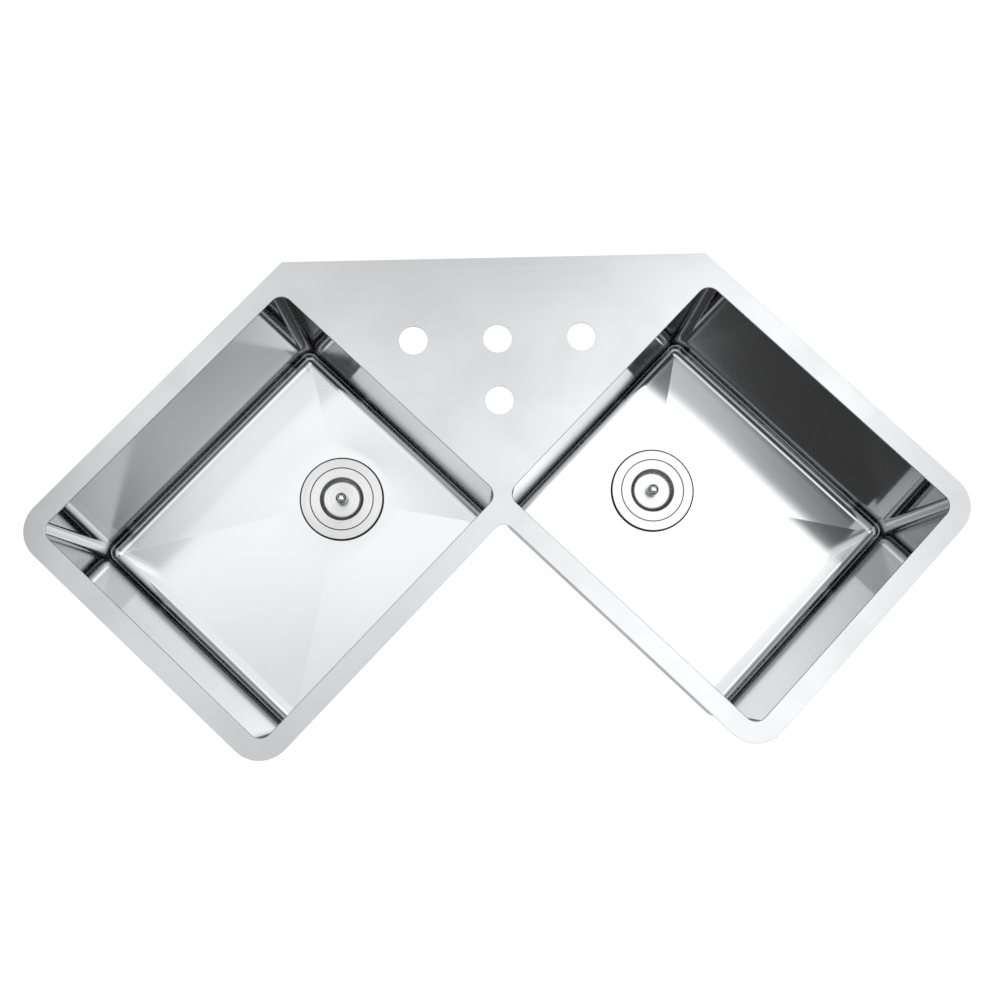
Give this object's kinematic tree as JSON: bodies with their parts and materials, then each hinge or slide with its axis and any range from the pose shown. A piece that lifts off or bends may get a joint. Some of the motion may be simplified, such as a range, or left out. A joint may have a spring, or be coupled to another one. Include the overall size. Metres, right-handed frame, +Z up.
{
  "type": "corner kitchen sink",
  "caption": "Stainless corner sink with square-set bowls at 45 degrees under a flat deck with tap holes, and a lift-out strainer lid and waste basket in each bowl.",
  "frame": {"origin": "centre of the middle tap hole, on the top face of the deck", "axes": "+X to the right along the row of tap holes, +Y to the back corner of the kitchen, +Z up out of the deck"},
  "size_m": [1.1238, 0.5941, 0.444],
  "materials": {
    "deck_steel": "fine brushed stainless",
    "bowl_steel": "satin brushed stainless",
    "strainer_steel": "brushed in circles",
    "basket_steel": "bright stainless",
    "knob_chrome": "polished",
    "plated_pipe": "polished plating",
    "cast_metal": "satin plated casting",
    "seal_rubber": "matte black",
    "pad_rubber": "dense dark grey pad",
    "fibre": "pressed fibre",
    "washer_plastic": "white moulded plastic"
  },
  "bodies": {
    "sink": {"deck": "deck_steel", "left_bowl": "bowl_steel", "right_bowl": "bowl_steel", "left_floor_pads": "pad_rubber", "right_floor_pads": "pad_rubber", "left_side_pads": "pad_rubber", "right_side_pads": "pad_rubber", "left_flange_gasket": "seal_rubber", "right_flange_gasket": "seal_rubber", "left_strainer_body": "strainer_steel", "right_strainer_body": "strainer_steel", "left_rubber_washer": "seal_rubber", "right_rubber_washer": "seal_rubber", "left_friction_ring": "fibre", "right_friction_ring": "fibre", "left_lock_nut": "cast_metal", "right_lock_nut": "cast_metal", "left_tail_washer": "washer_plastic", "right_tail_washer": "washer_plastic", "left_tailpiece": "plated_pipe", "right_tailpiece": "plated_pipe", "left_coupling_nut": "cast_metal", "right_coupling_nut": "cast_metal"},
    "left_waste_basket": {"left_basket": "basket_steel", "left_basket_handle": "basket_steel"},
    "right_waste_basket": {"right_basket": "basket_steel", "right_basket_handle": "basket_steel"},
    "left_cover": {"left_lid": "strainer_steel", "left_lid_seal": "seal_rubber", "left_lid_knob": "knob_chrome", "left_knob_nut": "knob_chrome"},
    "right_cover": {"right_lid": "strainer_steel", "right_lid_seal": "seal_rubber", "right_lid_knob": "knob_chrome", "right_knob_nut": "knob_chrome"}
  },
  "joints": [
    {"name": "left_basket_lift", "type": "slide", "parent": "sink", "child": "left_waste_basket", "axis": [0, 0, 1], "range_m": [0, 0.33]},
    {"name": "right_basket_lift", "type": "slide", "parent": "sink", "child": "right_waste_basket", "axis": [0, 0, 1], "range_m": [0, 0.33]},
    {"name": "left_lid_lift", "type": "slide", "parent": "left_waste_basket", "child": "left_cover", "axis": [0, 0, 1], "range_m": [0, 0.29]},
    {"name": "right_lid_lift", "type": "slide", "parent": "right_waste_basket", "child": "right_cover", "axis": [0, 0, 1], "range_m": [0, 0.29]}
  ]
}
